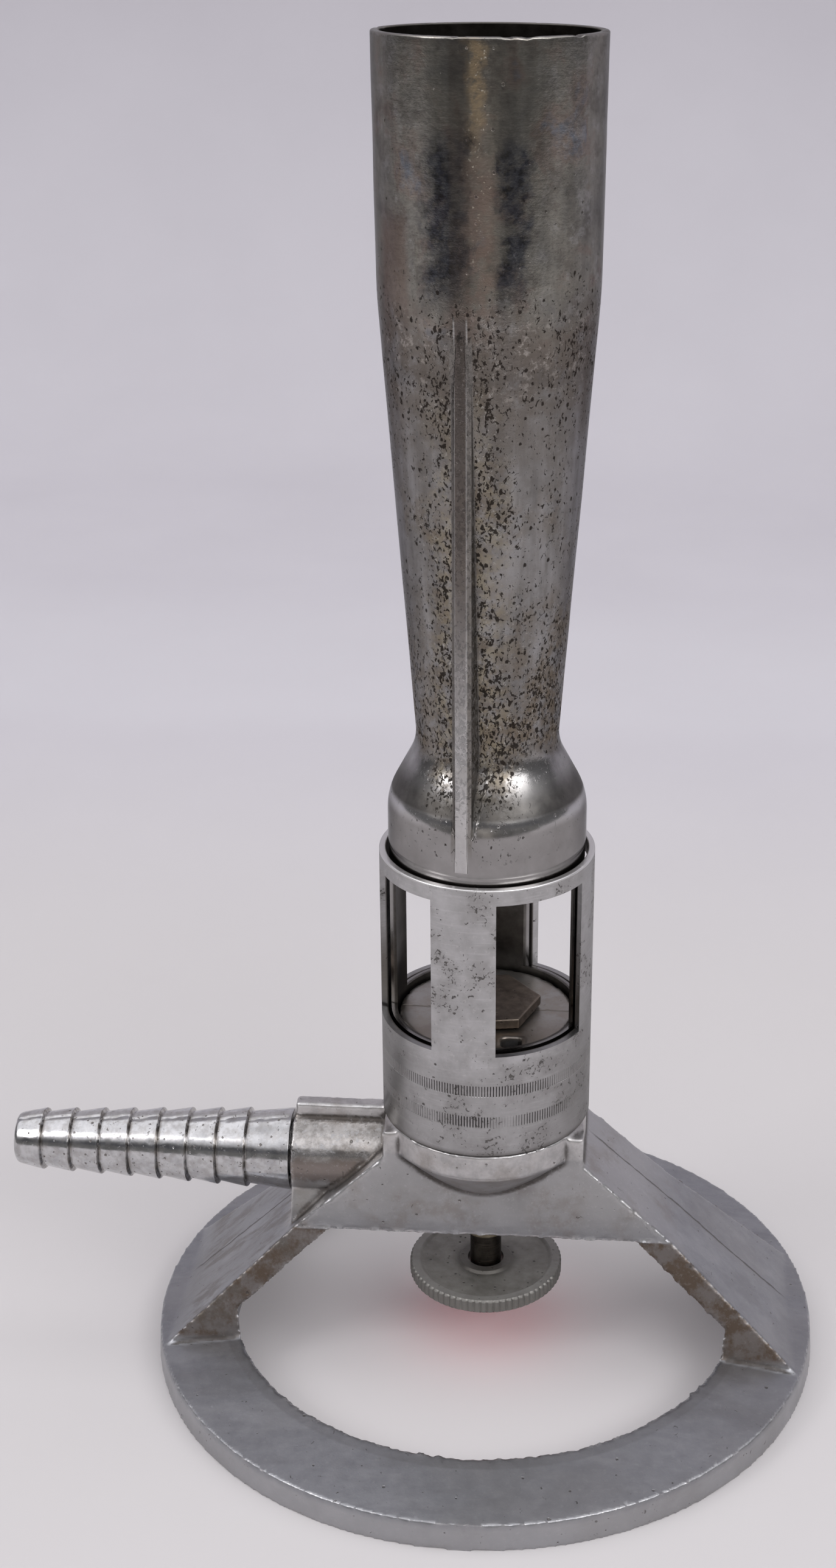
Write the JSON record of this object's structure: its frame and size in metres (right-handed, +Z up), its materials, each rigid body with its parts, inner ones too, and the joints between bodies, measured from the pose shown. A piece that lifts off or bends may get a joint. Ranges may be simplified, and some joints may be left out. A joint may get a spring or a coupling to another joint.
{
  "type": "laboratory gas burner",
  "caption": "Laboratory gas burner: flaring barrel over an air sleeve with windows, ring foot carried by two sloping arms, serrated hose barb at one side, knurled needle-valve knob below.",
  "frame": {"origin": "centre of the overall outline's lower face; the burner's upright axis stands at x = 0.009175, y = 0", "axes": "+Z up along the barrel, -X along the hose barb, -Y the front plate between the arms"},
  "size_m": [0.1054, 0.087, 0.165],
  "materials": {
    "die_cast_zinc": "dull bluish-grey die-cast zinc, bright where edges are worn",
    "plated_barb": "worn plating, tarnished in the grooves",
    "barrel_metal": "grey metal, heat-tinted brown at the head, pitted along the taper, bright at the bell",
    "satin_sleeve": "satin light grey, fine pits",
    "jet_brass": "darkened brass",
    "gasket_fibre": "red-brown fibre",
    "stem_steel": "nearly black, oiled",
    "knob_zinc": "dull dark grey zinc",
    "nut_brass": "tarnished brass",
    "packing_graphite": "black graphite packing",
    "grid_nickel": "heat-darkened nickel"
  },
  "bodies": {
    "base": {"base_casting": "die_cast_zinc", "hose_barb": "plated_barb", "barrel": "barrel_metal", "gas_jet": "jet_brass", "jet_gasket": "gasket_fibre", "packing_nut": "nut_brass", "stem_packing": "packing_graphite", "grid_ring": "grid_nickel", "grid_strip_x1": "grid_nickel", "grid_strip_x2": "grid_nickel", "grid_strip_x3": "grid_nickel", "grid_strip_x4": "grid_nickel", "grid_strip_x5": "grid_nickel", "grid_strip_y1": "grid_nickel", "grid_strip_y2": "grid_nickel", "grid_strip_y3": "grid_nickel", "grid_strip_y4": "grid_nickel", "grid_strip_y5": "grid_nickel"},
    "sleeve": {"air_sleeve": "satin_sleeve"},
    "spindle": {"valve_stem": "stem_steel"},
    "knob": {"valve_knob": "knob_zinc"}
  },
  "joints": [
    {"name": "sleeve_turn", "type": "hinge", "parent": "base", "child": "sleeve", "pos_m": [0.00918, 0, 0.0525], "axis": [0, 0, 1], "continuous": true},
    {"name": "valve_travel", "type": "slide", "parent": "base", "child": "spindle", "axis": [0, 0, 1], "range_m": [-0.0016, 0.0008]},
    {"name": "valve_turn", "type": "hinge", "parent": "spindle", "child": "knob", "pos_m": [0.00918, 0, 0.0095], "axis": [0, 0, 1], "range_deg": [-720, 360]}
  ],
  "couplings": [
    {"joint": "valve_travel", "follows": "valve_turn", "m_per_rad": 0.0001273}
  ]
}
